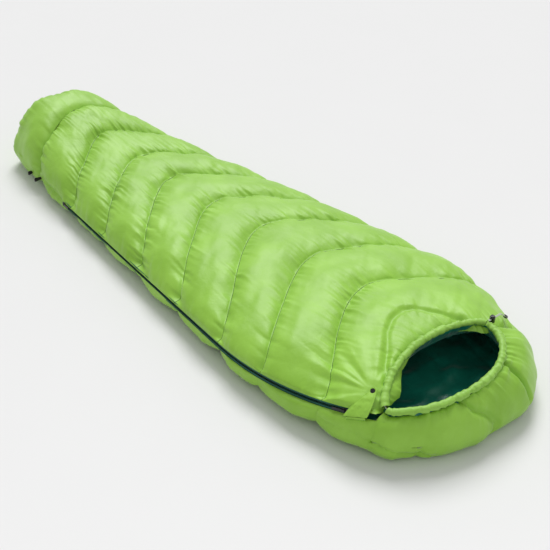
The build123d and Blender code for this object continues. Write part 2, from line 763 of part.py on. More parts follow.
for number, x in enumerate(LOOP_PLACES, 1):
    surface = outline_point(pi - side_angle(LOOP_HEIGHT, *inset_row(x, 0)[2:]), *inset_row(x, 0))[0]
    with BuildPart() as loop:
        with BuildSketch(Plane.XY.offset(LOOP_HEIGHT - LOOP_WIDTH / 2)):
            with Locations((x, surface - LOOP_REACH)):
                Circle(LOOP_RADIUS)
                Rectangle(2 * LOOP_RADIUS, LOOP_REACH - LOOP_STANDOFF, align=(Align.CENTER, Align.MIN))
            with Locations((x, surface - LOOP_REACH)):
                Circle(LOOP_RADIUS - LOOP_THICKNESS, mode=Mode.SUBTRACT)
                Rectangle(
                    2 * (LOOP_RADIUS - LOOP_THICKNESS),
                    LOOP_REACH,
                    align=(Align.CENTER, Align.MIN),
                    mode=Mode.SUBTRACT,
                )
        extrude(amount=LOOP_WIDTH)
    hand_over(loop.part, f"foot_loop_{number}")

# ---- Numbers that the joints are stated with ----

for label, distance in (("head slider", head_at), ("foot slider", foot_at)):
    point, along, out, up = zip_frame(distance)
    print(label, "at", point, "along", along, "out", out, "up", up)
print("zip axis", ZIP_AXIS, "through", ZIP_CENTRE, "straight along", ZIP_ALONG)
print("head travel deg", degrees((head_at - ZIP_STRAIGHT - SLIDERS_APART) / ZIP_ARC_RADIUS))
print("foot travel mm", ZIP_STRAIGHT - SLIDERS_APART - foot_at)
print("tab hinge at", tab_plane.origin, "axis", tab_plane.x_dir)
print("lock centre", lock_centre, "spring's fixed end", lock_centre.Z + BARREL_FOOT + CORD_LOCK_FLOOR)
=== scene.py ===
"""Looks of the mummy sleeping bag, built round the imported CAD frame. Metres; +X to the head, +Z up."""

import math

import bmesh
import bpy
import numpy as np
from mathutils import Matrix, Vector


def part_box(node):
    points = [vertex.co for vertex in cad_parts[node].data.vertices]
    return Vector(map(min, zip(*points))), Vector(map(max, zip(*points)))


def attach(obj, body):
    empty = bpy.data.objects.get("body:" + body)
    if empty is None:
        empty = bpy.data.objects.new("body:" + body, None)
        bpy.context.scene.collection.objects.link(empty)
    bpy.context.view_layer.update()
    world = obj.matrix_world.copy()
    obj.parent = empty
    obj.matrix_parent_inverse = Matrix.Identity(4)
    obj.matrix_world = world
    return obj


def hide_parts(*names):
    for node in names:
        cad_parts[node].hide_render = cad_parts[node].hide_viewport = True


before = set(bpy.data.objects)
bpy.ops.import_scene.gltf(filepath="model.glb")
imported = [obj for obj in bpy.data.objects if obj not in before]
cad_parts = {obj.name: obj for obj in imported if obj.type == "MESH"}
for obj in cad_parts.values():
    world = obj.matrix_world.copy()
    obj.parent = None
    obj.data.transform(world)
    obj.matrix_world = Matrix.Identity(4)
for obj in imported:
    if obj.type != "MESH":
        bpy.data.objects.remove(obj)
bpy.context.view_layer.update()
scene = bpy.context.scene

GROUND = .0006  # lowest place that an outer surface may have
FINE = 800  # points that a section is divided into before it is divided evenly

# ---- The bag's form, as in the CAD model ----

ROWS = np.array([  # place along X, half width left and right, heights of crown, belly and keel
    (-1.0795, .160, .172, .196, .080, .016), (-1.062, .184, .194, .220, .077, -.002),
    (-1.025, .196, .205, .230, .074, -.010), (-.955, .212, .219, .222, .070, -.010),
    (-.795, .236, .252, .190, .062, -.010), (-.595, .266, .304, .162, .056, -.010),
    (-.295, .304, .342, .164, .056, -.010), (.005, .343, .376, .172, .058, -.010),
    (.305, .382, .404, .178, .060, -.010), (.555, .4055, .4055, .186, .062, -.010),
    (.705, .398, .372, .191, .064, -.010), (.845, .369, .300, .195, .066, -.010),
    (.945, .338, .262, .186, .066, -.010), (1.015, .262, .205, .156, .064, -.006),
    (1.050, .190, .150, .122, .060, .008), (1.071, .130, .105, .098, .057, .026),
    (1.0795, .104, .086, .084, .056, .034),
])


def smooth_interp(x, xs, ys):
    """Smooth interpolation through the rows that doesn't overshoot."""
    h = np.diff(xs)
    slope = np.diff(ys) / h
    m = np.zeros(len(xs))
    same = slope[:-1] * slope[1:] > 0
    m[1:-1][same] = (2 * slope[:-1] * slope[1:] / (slope[:-1] + slope[1:] + 1e-12))[same]
    m[0], m[-1] = slope[0], slope[-1]
    x = np.clip(x, xs[0], xs[-1])
    i = np.clip(np.searchsorted(xs, x) - 1, 0, len(h) - 1)
    t = (x - xs[i]) / h[i]
    return ((2 * t**3 - 3 * t**2 + 1) * ys[i] + (t**3 - 2 * t**2 + t) * h[i] * m[i]
            + (-2 * t**3 + 3 * t**2) * ys[i + 1] + (t**3 - t**2) * h[i] * m[i + 1])


def smoothstep(x, a, b):
    """0 before a, 1 after b, and a smooth rise between them."""
    t = np.clip((x - a) / (b - a), 0, 1)
    return t * t * (3 - 2 * t)


def rows_at(x):
    """Half widths left and right, and heights of crown, belly and keel, at places x."""
    return [smooth_interp(x, ROWS[:, 0], ROWS[:, k]) for k in range(1, 6)]


def across(a):
    """Place across the bag at angle a, from -1 at the left to 1 at the right."""
    return np.sign(np.cos(a)) * np.abs(np.cos(a)) ** .85


def form(x, a, inset=0.0):
    """Points of the form at places x and angles a, taken in by inset."""
    left, right, crown, belly, keel = rows_at(x)
    s = np.sin(a)
    y = across(a) * np.maximum(np.where(np.cos(a) > 0, right, left) - inset, .004)
    slant = .40 * smoothstep(-x, .93, 1.03) * smoothstep(-np.cos(a), -.1, .5)
    up = belly + np.maximum(crown - inset - belly, .004) * np.abs(s) ** (.95 + slant)
    down = belly - np.maximum(belly - keel - inset, .004) * np.abs(s) ** .55
    z = np.maximum(np.where(s >= 0, up, down), inset)
    return np.stack([x + 0 * y, y, z], -1)


def top_height(x, y, inset=0.0):
    """Height of the form's upper side at plan places, taken in by inset."""
    left, right, crown, belly, _ = rows_at(x)
    q = np.clip(np.abs(y) / (np.where(y > 0, right, left) - inset), 0, 1)
    return belly + (crown - inset - belly) * (1 - q ** (2 / .85)) ** .475


# ---- The zip's line, as in the CAD model ----

ZIP_FOOT, ZIP_TURN = np.array([-.620, -.265, .052]), np.array([.3655, -.3885, .070])
ZIP_RADIUS, ZIP_ANGLE, TILT, ROLL = 1.065, math.radians(31), math.radians(19), math.radians(27)
ALONG = (ZIP_TURN - ZIP_FOOT) / np.linalg.norm(ZIP_TURN - ZIP_FOOT)
STRAIGHT = np.linalg.norm(ZIP_TURN - ZIP_FOOT)
LEVEL = np.cross([0, 0, 1], ALONG)
LEVEL /= np.linalg.norm(LEVEL)
INWARD = LEVEL * math.cos(TILT) + np.cross(ALONG, LEVEL) * math.sin(TILT)
AXIS = np.cross(ALONG, INWARD)
CENTRE = ZIP_TURN + INWARD * ZIP_RADIUS
ZIP_LENGTH = STRAIGHT + ZIP_RADIUS * ZIP_ANGLE


def zip_frame(s):
    """Points, directions along, out and up the tape, at distances s from the zip's foot end."""
    s = np.asarray(s, float)[..., None]
    turn = np.maximum(s - STRAIGHT, 0) / ZIP_RADIUS
    radial = ALONG * np.sin(turn) - INWARD * np.cos(turn)
    along = ALONG * np.cos(turn) + INWARD * np.sin(turn)
    point = np.where(s < STRAIGHT, ZIP_FOOT + ALONG * s, CENTRE + radial * ZIP_RADIUS)
    out = radial * math.cos(ROLL) + AXIS * math.sin(ROLL)
    up = AXIS * math.cos(ROLL) - radial * math.sin(ROLL)
    return point, along, out, up


_zs = np.linspace(0, ZIP_LENGTH, 600)
_zp, _za, _zo, _zu = zip_frame(_zs)


def zip_at(x):
    """The zip's point, out and up directions where it passes x."""
    s = np.interp(x, _zp[:, 0], _zs)
    p, _, o, u = zip_frame(s)
    return p, o, u


def seam_z(x):
    """Height of the side seam: the zip's line, carried on past both its ends."""
    places = np.concatenate([[-1.3], _zp[:, 0], [1.3]])
    heights = np.concatenate([[ZIP_FOOT[2]], _zp[:, 2], [_zp[-1, 2] - .03]])
    z = np.interp(x, places, heights)
    _, _, crown, belly, _ = rows_at(x)
    return np.minimum(z, belly + (crown - belly) * .6)


def side_angle(z, x):
    """Angle at which the side reaches height z."""
    _, _, crown, belly, keel = rows_at(x)
    up = np.arcsin(np.clip((z - belly) / (crown - belly), 0, 1) ** (1 / .95))
    down = -np.arcsin(np.clip((belly - z) / (belly - keel), 0, 1) ** (1 / .55))
    return np.where(z >= belly, up, down)


# ---- Smooth noise, the same on every run ----

NOISE_SIZE = 4096
NOISE = np.random.RandomState(7).uniform(-1, 1, NOISE_SIZE)


def noise1(x, seed):
    """Smooth noise along a line, from -1 to 1."""
    i = np.floor(x).astype(int)
    f = x - i
    f = f * f * (3 - 2 * f)
    a = NOISE[(i * 131 + seed * 977) % NOISE_SIZE]
    b = NOISE[((i + 1) * 131 + seed * 977) % NOISE_SIZE]
    return a + (b - a) * f


def noise2(x, y, seed):
    """Smooth noise over a plane, from -1 to 1."""
    i, j = np.floor(x).astype(int), np.floor(y).astype(int)
    f, g = x - i, y - j
    f, g = f * f * (3 - 2 * f), g * g * (3 - 2 * g)

    def at(p, q):
        return NOISE[(p * 157 + q * 1373 + seed * 577 + (p * q) % 61) % NOISE_SIZE]

    near = at(i, j) * (1 - f) + at(i + 1, j) * f
    far = at(i, j + 1) * (1 - f) + at(i + 1, j + 1) * f
    return near * (1 - g) + far * g


def folds(w, seed):
    """Puckers along a seam: uneven ridges of about 10 to 50 mm."""
    fine = .55 * noise1(w / .010, seed) + .85 * noise1(w / .019, seed + 50)
    return (fine + .45 * noise1(w / .05, seed + 90)) * (1 + .5 * noise1(w / .09, seed + 130))


def pucker(along, seed, distance, height, reach, start=.006):
    """Puckers beside a seam: none on it, highest close by, fading over reach."""
    return height * folds(along, seed) * np.exp(-distance / reach) * (1 - np.exp(-distance / start))


def row_puckers(along, seeds, distance, height, reach, start=.006):
    """Puckers beside the seams of a quilt, where every row of the grid has its seam's own seed."""
    fold = np.array([folds(row, int(seed)) for row, seed in zip(along, seeds)])
    return height * fold * np.exp(-distance / reach) * (1 - np.exp(-distance / start))


def seam_dip(distance, depth, width):
    """The groove that a seam pulls in."""
    return -depth * np.exp(-(distance / width) ** 2)


# ---- Lines, and grids to meshes ----


def arc_of(line):
    """Distance along a line at each of its points."""
    return np.concatenate([[0], np.cumsum(np.linalg.norm(np.diff(line, axis=0), axis=1))])


def even_columns(start, end, count):
    """Even columns round a typical section: share of the angle, and distance from the first edge."""
    arc = arc_of(form(np.full(FINE, .3), np.linspace(start, end, FINE)))
    distance = np.linspace(0, arc[-1], count)
    return np.interp(distance, arc, np.linspace(0, 1, FINE)), distance


def normals_of(p, place, sign):
    """Unit normals of a grid; the one at place points up where sign is 1, down where it is -1."""
    n = np.cross(np.gradient(p, axis=0), np.gradient(p, axis=1))
    n /= np.maximum(np.linalg.norm(n, axis=-1, keepdims=True), 1e-9)
    return n if n[place][2] * sign >= 0 else -n


def grid_mesh(name, p, material, body="bag", keep=None, closed=False, thick=0.0):
    """A mesh piece from a grid of points, with the faces that keep allows."""
    rows, cols = p.shape[:2]
    index = np.arange(rows * cols).reshape(rows, cols)
    if closed:
        index = np.concatenate([index, index[:, :1]], 1)
    quads = np.stack([index[:-1, :-1], index[1:, :-1], index[1:, 1:], index[:-1, 1:]], -1)
    quads = quads[keep] if keep is not None else quads.reshape(-1, 4)
    mesh = bpy.data.meshes.new(name)
    mesh.from_pydata(p.reshape(-1, 3).tolist(), [], quads.reshape(-1, 4).tolist())
    mesh.validate()
    obj = bpy.data.objects.new(name, mesh)
    scene.collection.objects.link(obj)
    if keep is not None:
        used = np.zeros(len(mesh.vertices), bool)
        used[quads.reshape(-1)] = True
        bm = bmesh.new()
        bm.from_mesh(mesh)
        bm.verts.ensure_lookup_table()
        bmesh.ops.delete(bm, geom=[bm.verts[i] for i in np.flatnonzero(~used)], context="VERTS")
        bm.to_mesh(mesh)
        bm.free()
    mesh.polygons.foreach_set("use_smooth", [True] * len(mesh.polygons))
    mesh.materials.append(material)
    if thick:
        solid = obj.modifiers.new("fabric", "SOLIDIFY")
        solid.thickness = thick
        solid.offset = -1
    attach(obj, body)
    return obj


def tube(name, points, radii, sides, material, flat=1.0, keep=None):
    """A tube along points; radii is one number, or an array of rows by sides."""
    along = np.gradient(points, axis=0)
    along /= np.linalg.norm(along, axis=1, keepdims=True)
    side = np.cross([0, 0, 1], along)
    side /= np.maximum(np.linalg.norm(side, axis=1, keepdims=True), 1e-9)
    up = np.cross(along, side)
    angle = np.linspace(0, 2 * np.pi, sides, endpoint=False)
    r = np.broadcast_to(radii, (len(points), sides))
    p = points[:, None] + side[:, None] * (r * np.cos(angle))[..., None]
    p = p + up[:, None] * (flat * r * np.sin(angle))[..., None]
    return grid_mesh(name, p, material, keep=keep, closed=True)


# ---- Materials ----


def new_material(name, color, rough, sheen=0.0, metallic=0.0, coat=0.0):
    """A material with its nodes, links and main shader."""
    m = bpy.data.materials.new(name)
    m.use_nodes = True
    n, l = m.node_tree.nodes, m.node_tree.links
    b = n["Principled BSDF"]
    b.inputs["Base Color"].default_value = (*color, 1)
    b.inputs["Roughness"].default_value = rough
    b.inputs["Sheen Weight"].default_value = sheen
    b.inputs["Metallic"].default_value = metallic
    b.inputs["Coat Weight"].default_value = coat
    return m, n, l, b


def vary(n, l, b, low, high, scale):
    """Colour that wanders between two tones."""
    coords = n.new("ShaderNodeTexCoord")
    tex = n.new("ShaderNodeTexNoise")
    tex.inputs["Scale"].default_value = scale
    tex.inputs["Detail"].default_value = 4
    ramp = n.new("ShaderNodeValToRGB")
    ramp.color_ramp.elements[0].position = .35
    ramp.color_ramp.elements[1].position = .65
    ramp.color_ramp.elements[0].color = (*low, 1)
    ramp.color_ramp.elements[1].color = (*high, 1)
    l.new(coords.outputs["Object"], tex.inputs["Vector"])
    l.new(tex.outputs["Fac"], ramp.inputs["Fac"])
    l.new(ramp.outputs["Color"], b.inputs["Base Color"])
    return coords


def bumps(n, l, b, coords, layers):
    """Stacked bumps: (kind, scale, strength, distance)."""
    last = None
    for kind, scale, strength, distance in layers:
        tex = n.new("ShaderNodeTexWave" if kind == "weave" else "ShaderNodeTexNoise")
        tex.inputs["Scale"].default_value = scale
        if kind == "weave":
            tex.wave_type = "BANDS"
            tex.bands_direction = "DIAGONAL"
            tex.inputs["Distortion"].default_value = .6
        elif kind == "crease":
            tex.noise_type = "RIDGED_MULTIFRACTAL"
            tex.inputs["Detail"].default_value = 3
            tex.inputs["Distortion"].default_value = .8
        else:
            tex.inputs["Detail"].default_value = 5
            tex.inputs["Distortion"].default_value = .5
        l.new(coords.outputs["Object"], tex.inputs["Vector"])
        bump = n.new("ShaderNodeBump")
        bump.inputs["Strength"].default_value = strength
        bump.inputs["Distance"].default_value = distance
        l.new(tex.outputs["Fac"], bump.inputs["Height"])
        if last:
            l.new(last.outputs["Normal"], bump.inputs["Normal"])
        last = bump
    l.new(last.outputs["Normal"], b.inputs["Normal"])


def fabric(name, low, high, rough, sheen, crinkle=.35, crease=0.0):
    """Cloth: two tones, crinkles and a weave, and creases where crease is given."""
    m, n, l, b = new_material(name, high, rough, sheen)
    b.inputs["Sheen Roughness"].default_value = .35
    coords = vary(n, l, b, low, high, 9)
    layers = [("noise", 32, crinkle, .004), ("noise", 110, crinkle * .8, .0012), ("weave", 900, .12, .0002)]
    if crease:
        layers.insert(0, ("crease", 11, crease, .012))
    bumps(n, l, b, coords, layers)
    return m


SHELL = fabric("lime_taffeta", (.240, .490, .034), (.295, .575, .055), .50, .18, crease=.10)
CHANNEL = fabric("lime_hem", (.245, .49, .055), (.295, .56, .080), .54, .12, .25)
LINING = fabric("green_lining", (.004, .130, .088), (.008, .215, .145), .30, .25, crease=.75)
TAPE = fabric("zip_tape_weave", (.004, .085, .058), (.006, .115, .080), .7, .2, .1)
CORD = fabric("braided_cord", (.50, .56, .46), (.60, .66, .56), .75, .3, .1)
WEBBING = fabric("black_webbing", (.008, .008, .008), (.014, .014, .014), .75, .2, .1)
# Stitch thread: real thread, coloured far darker than the shell so that it also carries painted shade along
# the seam grooves
SEAM_SHADE_THREAD = fabric("thread_darkened_for_seam_shade", (.020, .090, .008), (.030, .12, .012), .8, 0, .1)


def hard(name, low, high, rough, metallic=0.0, coat=0.0):
    """Metal or plastic, in two close tones."""
    m, n, l, b = new_material(name, high, rough, 0.0, metallic, coat)
    coords = vary(n, l, b, low, high, 60)
    bumps(n, l, b, coords, [("noise", 900, .08, .0002)])
    return m


COIL = hard("nylon_coil", (.003, .050, .036), (.006, .070, .050), .38)
ENAMEL = hard("dark_enamel", (.012, .014, .015), (.022, .025, .026), .32, .6, .3)
PLASTIC = hard("black_plastic", (.006, .006, .007), (.012, .012, .013), .22, 0, .4)
SMOKE = hard("smoked_plastic", (.030, .032, .034), (.045, .048, .050), .18, 0, .5)
STEEL = hard("spring_steel", (.42, .42, .43), (.52, .52, .53), .25, 1.0)

# ---- Top quilt: chevron seams run from the zip to the far side, apex towards the feet ----

CHEVRONS = [  # apex along X, rise to the left edge, rise to the right edge
    (-.940, .112, .060), (-.772, .212, .112), (-.578, .240, .125), (-.391, .285, .190),
    (-.163, .288, .200), (.062, .300, .165), (.295, .255, .140), (.513, .245, .165),
]
APEX_ACROSS = .10
SOFT_LEFT, SOFT_RIGHT = .32, .14  # how round the apex is on either side
COLS = 300


def gap(x):
    """Half the width that the quilts leave open over the zip, wider towards the head."""
    return (.0046 + .0042 * smoothstep(x, -.1, .6))[:, None]


COL_AT, ACROSS_M = even_columns(np.pi, 0, COLS)
COL_ACROSS = across(np.pi * (1 - COL_AT))


def rise(d, soft):
    """From 0 to 1 with d, flat at first by soft."""
    return (np.sqrt(d * d + soft * soft) - soft) / (math.sqrt(1 + soft * soft) - soft)


def chevron(k):
    """Place along X of seam k at every column."""
    apex, left, right = CHEVRONS[k]
    d = COL_ACROSS - APEX_ACROSS
    to_left = left * rise(np.abs(d) / (1 + APEX_ACROSS), SOFT_LEFT)
    to_right = right * rise(np.abs(d) / (1 - APEX_ACROSS), SOFT_RIGHT)
    return apex + np.where(d < 0, to_left, to_right)


# The chest hem: places across, and the place along X at each
HEM_Y = [-.45, -.312, -.296, -.262, -.225, -.165, -.110, -.05, .010, .06, .100, .137, .152, .20, .45]
HEM_X = [.905, .905, .897, .872, .849, .830, .8175, .814, .8175, .827, .840, .868, .884, .893, .905]


def hem():
    """Place along X of the chest hem at every column; the width there depends on it, so it is iterated."""
    x = np.full(COLS, .86)
    for _ in range(30):
        left, right, *_ = rows_at(x)
        y = COL_ACROSS * np.where(COL_ACROSS > 0, right, left)
        x = .5 * x + .5 * np.interp(y, HEM_Y, HEM_X)
    return x


def angles(x, low, high):
    """Angles across the top between the left and right edges at heights low and high."""
    start = np.pi - side_angle(low, x)
    end = side_angle(high, x)
    return start + (end - start) * COL_AT[None, :]


def band_rows(lines, cell):
    """Rows between successive lines, with each row's channel number and place in the channel."""
    xs, channel, place = [], [], []
    for k in range(len(lines) - 1):
        count = max(int(round(np.mean(np.abs(lines[k + 1] - lines[k])) / cell)), 6)
        last = k == len(lines) - 2
        for i in range(count + (1 if last else 0)):
            f = i / count
            xs.append(lines[k] + (lines[k + 1] - lines[k]) * f)
            channel.append(k)
            place.append(f)
    return np.array(xs), np.array(channel), np.array(place)


def quilt_puff(width, place, crown, sink):
    """Height of a filled channel: sunk at its seams, crowned between them."""
    q = np.abs(2 * place - 1)
    body = 1 - q ** 2.6
    return -sink + (crown + sink) * body ** .8 * np.clip(width / .12, .35, 1)


def near_curve(p, curve):
    """Distance from grid points to a curve, in plan or in space, and how far along the curve."""
    best = np.full(p.shape[:2], 9.0)
    where = np.zeros(p.shape[:2])
    total = 0.0
    for a, b in zip(curve[:-1], curve[1:]):
        ab = b - a
        length = np.linalg.norm(ab)
        size = len(ab)
        t = np.clip(((p[..., :size] - a) @ ab) / length**2, 0, 1)
        d = np.linalg.norm(p[..., :size] - (a + t[..., None] * ab), axis=-1)
        closer = d < best
        best = np.where(closer, d, best)
        where = np.where(closer, total + t * length, where)
        total += length
    return best, where


SINK, CROWN = .016, .006
COLLAR = np.array([
    (.862, -.250), (.79, -.172), (.73, -.106), (.70, -.055),
    (.69, .0), (.715, .035), (.765, .062), (.815, .098),
])


def tie_edges(quilt, normals, x, distance, sign, seed, reach):
    """Ties a quilt's left edge to the zip, above it (sign 1) or below (-1), and its right edge to the seam."""
    point, out, up = zip_at(x[:, 0])
    target = point + sign * up * gap(x[:, 0]) + out * .002
    flat_seam = form(x[:, 0], np.pi - side_angle(seam_z(x[:, 0]), x[:, 0]), .006)
    closing = smoothstep(x[:, 0], -.655, -.615)[:, None]
    target = flat_seam * (1 - closing) + target * closing
    fade = (1 - smoothstep(distance, 0, .026)) ** 1.8
    quilt += (target - quilt[:, 0])[:, None] * fade[None, :, None]
    quilt += normals * pucker(x[:, :1], seed, distance, .0028, .03, .008)[..., None]
    target = form(x[:, -1], side_angle(seam_z(x[:, -1]), x[:, -1]), .007)
    fade = (1 - smoothstep(distance[-1] - distance, 0, reach)) ** 1.5
    quilt += (target - quilt[:, -1])[:, None] * fade[None, :, None]


hem_line = hem()
lines = [chevron(k) for k in range(8)] + [hem_line]
X, CH, PL = band_rows(lines, .0046)
A = angles(X, seam_z(X) + .004, seam_z(X) + .001)
P = form(X, A)
N = normals_of(P, (len(P) // 2, COLS // 2), 1)
width = np.array([lines[k + 1] - lines[k] for k in CH])
D = quilt_puff(width, PL[:, None], CROWN, SINK)
w = ACROSS_M[None, :] + .004 * noise2(X / .03, ACROSS_M[None, :] / .03, 3)
lower = PL[:, None] * width
upper = (1 - PL[:, None]) * width
for distance, shift in ((lower, 0), (upper, 1)):
    D += row_puckers(w, 11 * (CH + shift), distance, .0078, .028)
# two directions at a slant to the bag, for shallow diagonal waves
slope = (X * .8 + ACROSS_M[None, :] * .6, ACROSS_M[None, :] * .8 - X * .6)
D += (.006 * noise2(X / .11, ACROSS_M[None, :] / .13, 5)
      + .0022 * noise2(X / .050, ACROSS_M[None, :] / .055, 8))
D += .0012 * noise2(slope[0] / .022, slope[1] / .080, 9)
collar_d, collar_w = near_curve(P, COLLAR)
in_collar = CH == 7
collar = seam_dip(collar_d, .008, .009) + pucker(collar_w, 301, collar_d, .0045, .025)
D += np.where(in_collar[:, None], collar, 0)
# tension creases that fan out from the tab across the chest
fan = np.stack([X - .86, P[..., 1] + .29], -1)
reach = np.linalg.norm(fan, axis=-1)
bearing = np.arctan2(fan[..., 1], fan[..., 0])
D += .0045 * noise1(bearing / .16, 71) * np.exp(-((reach - .13) / .10) ** 2) * smoothstep(reach, .02, .06)
# gathers at the chest hem
gathers = .003 * folds(ACROSS_M[None, :] + 0 * X, 401) * np.exp(-upper / .03) - .006 * np.exp(-upper / .010)
D += np.where(in_collar[:, None], gathers, 0)
TOP = P + N * D[..., None]
tie_edges(TOP, N, X, ACROSS_M, 1, 501, .030)
TOP[..., 2] = np.maximum(TOP[..., 2], .004)
top_quilt = grid_mesh("top_quilt_shell", TOP, SHELL)
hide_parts("top_shell", "top_insulation")


def stitches(name, line):
    """A row of stitches along a line: thread that shows for 3 mm in every 4, coloured dark so that it also
    paints the shade of the seam groove.
    """
    arc = arc_of(line)
    even = np.arange(0, arc[-1], .001)
    pts = np.stack([np.interp(even, arc, line[:, j]) for j in range(3)], -1) + np.array([0, 0, .0004])
    shown = np.repeat((np.arange(len(even) - 1) % 4 < 3)[:, None], 5, 1)
    obj = tube(name, pts, .0008, 5, SEAM_SHADE_THREAD, keep=shown)
    return obj


for k in range(1, 8):
    row = int(np.flatnonzero((CH == k) & (PL == 0))[0])
    stitches(f"quilt_stitches_{k + 1}", TOP[row])

# ---- Bottom quilt ----

BCOLS = 260
BCOL_AT, BACROSS = even_columns(np.pi, 2 * np.pi, BCOLS)
blines = []
for k in range(8):
    top_line = chevron(k)
    blines.append(top_line[0] + (top_line[-1] - top_line[0]) * BCOL_AT)
blines.append(np.full(BCOLS, .932))
X, CH, PL = band_rows(blines, .006)
start = np.pi - side_angle(seam_z(X) - .004, X)
end = 2 * np.pi + side_angle(seam_z(X) - .001, X)
A = start + (end - start) * BCOL_AT[None, :]
P = form(X, A)
N = normals_of(P, (len(P) // 2, BCOLS // 2), -1)
width = np.array([blines[k + 1] - blines[k] for k in CH])
hood_end = (CH == 7)[:, None] * smoothstep(PL[:, None], .3, .6)
most = np.where((CH == 7)[:, None], .5, 1)  # the channel under the hood has no seam at its head end
D = quilt_puff(width, np.minimum(PL[:, None], most), .005, .011)
w = BACROSS[None, :] + .004 * noise2(X / .03, BACROSS[None, :] / .03, 13)
for distance, shift in ((PL[:, None] * width, 0), ((1 - PL[:, None]) * width, 1)):
    fold = np.array([folds(row, 600 + 11 * int(channel + shift)) for row, channel in zip(w, CH)])
    D += (1 - hood_end) * .0065 * fold * np.exp(-distance / .030) * (1 - np.exp(-distance / .006))
D -= .010 * smoothstep(X, .898, .932)
low_seam = np.array([(.769, -.390, .062), (.884, -.369, .068), (.936, -.346, .060)])
low_d, low_w = near_curve(P, low_seam)
D += seam_dip(low_d, .009, .008) + pucker(low_w, 640, low_d, .0045, .025)
D += .004 * noise2(X / .09, BACROSS[None, :] / .07, 15) + .002 * noise2(X / .04, BACROSS[None, :] / .04, 18)
BOTTOM = P + N * D[..., None]
tie_edges(BOTTOM, N, X, BACROSS, -1, 521, .026)
BOTTOM[..., 2] = np.maximum(BOTTOM[..., 2], GROUND)
bottom_quilt = grid_mesh("bottom_quilt_shell", BOTTOM, SHELL)
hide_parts("bottom_shell", "bottom_insulation")

# ---- Footbox: a ring that closes in a flat end panel ----

FC = 300
_a = np.linspace(np.pi, -np.pi, 1200)
_arc = arc_of(form(np.full(1200, -1.0), _a))
FA = np.interp(np.linspace(0, _arc[-1], FC, endpoint=False), _arc, _a)
FW = np.linspace(0, _arc[-1], FC, endpoint=False)
top_line = chevron(0)
upper_x = np.interp(np.pi - FA, np.pi * COL_AT, top_line)
lower_x = top_line[-1] + (top_line[0] - top_line[-1]) * np.clip(-FA / np.pi, 0, 1)
foot_line = np.where(FA >= 0, upper_x, lower_x)
EDGE_X = -1.052
parts = []
count = 44
for i in range(count + 1):
    f = i / count
    x = foot_line + (EDGE_X - foot_line) * f
    ring = form(x, FA)
    outward = np.stack([0 * x, np.cos(FA), np.sin(FA)], -1)
    from_seam = np.abs((EDGE_X - foot_line) * f)
    puff = -SINK * np.exp(-from_seam / .016) + .004 * (1 - np.exp(-from_seam / .03))
    fold = pucker(FW, 700, from_seam, .0042, .034)
    left_over = np.abs(EDGE_X - x)
    fold2 = .0035 * folds(FW, 720) * np.exp(-left_over / .028)
    wave = .004 * noise2(x / .08, FW / .09, 25) + .002 * noise2(x / .035, FW / .04, 28)
    parts.append(ring + outward * (puff + fold + fold2 + wave)[:, None])
edge_ring = parts[-1]
middle = np.array([0, float(edge_ring[:, 1].mean()), .105])
for i in range(1, 31):
    f = i / 30
    shrink = 1 - f
    ring = edge_ring.copy()
    ring[:, 1:] = middle[1:] + (edge_ring[:, 1:] - middle[1:]) * (1 - f ** 1.15)
    end_seam = -.006 * math.exp(-((f - .075) / .028) ** 2)
    bulge = -.0215 * (1 - (1 - min(f / .16, 1)) ** 2) - .006 * math.sin(math.pi * f * .5)
    gathers = .0025 * folds(FW, 740) * math.exp(-f / .12) * shrink
    ring[:, 0] = EDGE_X + bulge - end_seam + gathers + .002 * noise2(ring[:, 1] / .05, ring[:, 2] / .05, 31)
    parts.append(ring)
FOOT = np.array(parts)
FOOT[..., 2] = np.maximum(FOOT[..., 2], GROUND)
FOOT[..., 0] = np.maximum(FOOT[..., 0], -1.086)
footbox = grid_mesh("footbox_quilt_shell", FOOT, SHELL, closed=True)
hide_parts("footbox_shell", "footbox_insulation")

# ---- The rim round the face opening ----

RIM_RIGHT, RIM_LEFT = (.876, .137), (.912, -.296)
RIM_HOOD = [(.948, .108), (.996, .040), (1.012, -.060), (1.000, -.168), (.966, -.250)]
RIM_CHEST = [(.856, -.225), (.824, -.110), (.824, .010), (.846, .100)]


def closed_spline(knots, count):
    """A smooth closed curve through the knots, evenly divided."""
    k = np.array(knots)
    n = len(k)
    t = np.linspace(0, n, n * 60, endpoint=False)
    i = np.floor(t).astype(int)
    f = (t - i)[:, None]
    a, b, c, d = k[(i - 1) % n], k[i % n], k[(i + 1) % n], k[(i + 2) % n]
    line = .5 * (2 * b + (c - a) * f + (2 * a - 5 * b + 4 * c - d) * f**2 + (3 * b - 3 * c + d - a) * f**3)
    line = np.concatenate([line, line[:1]])
    arc = arc_of(line)
    even = np.linspace(0, arc[-1], count, endpoint=False)
    return np.stack([np.interp(even, arc, line[:, j]) for j in range(line.shape[1])], -1), arc[-1]


RIM_N = 720
rim, rim_length = closed_spline([RIM_RIGHT, *RIM_HOOD, RIM_LEFT, *RIM_CHEST], RIM_N)
rim_left = int(np.argmin(np.linalg.norm(rim - np.array(RIM_LEFT), axis=1)))
rim_z = top_height(rim[:, 0], rim[:, 1])
rim_out = np.roll(rim, -1, 0) - np.roll(rim, 1, 0)
rim_out = np.stack([-rim_out[:, 1], rim_out[:, 0]], -1)
rim_out /= np.linalg.norm(rim_out, axis=1, keepdims=True)
if np.dot(rim_out[0], rim[0] - rim.mean(0)) < 0:
    rim_out = -rim_out
rim_w = np.linspace(0, rim_length, RIM_N, endpoint=False)

# ---- Hood: a fan from the rim over the head end and under ----

